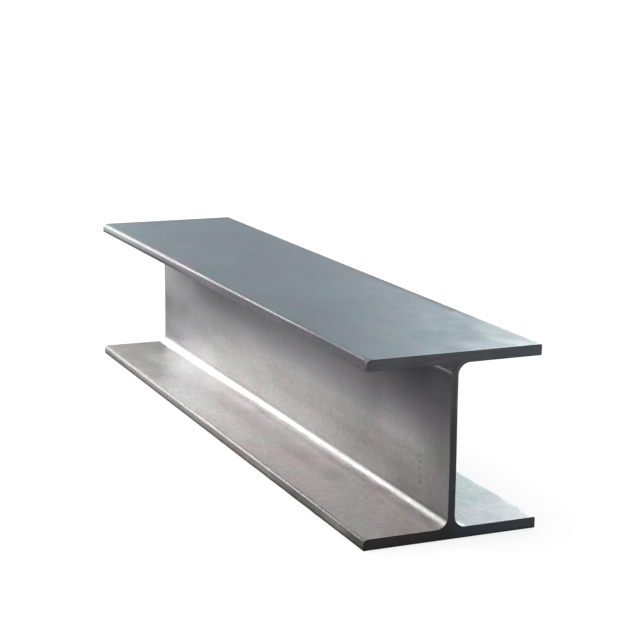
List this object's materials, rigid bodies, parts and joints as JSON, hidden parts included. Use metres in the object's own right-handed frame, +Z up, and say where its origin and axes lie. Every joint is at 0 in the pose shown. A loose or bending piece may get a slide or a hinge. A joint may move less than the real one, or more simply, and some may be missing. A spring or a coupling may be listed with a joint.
{
  "type": "steel h-beam",
  "caption": "Short length of hot-rolled wide-flange H-beam with parallel flanges, filleted roots and square-sawn ends, for framing, columns and bearers.",
  "frame": {"origin": "middle of the bottom flange's outer face, at mid-length", "axes": "+X along the beam to one sawn end, +Y across the flanges, +Z up the web"},
  "size_m": [0.935, 0.2, 0.2],
  "materials": {
    "rolled_steel": "hot-rolled, unpainted, in smooth blue-grey mill scale that is worn to warmer bare grey inside the flanges; saw-cut ends are dark and fine-grained"
  },
  "bodies": {
    "root": {"h_beam": "rolled_steel"}
  },
  "joints": []
}
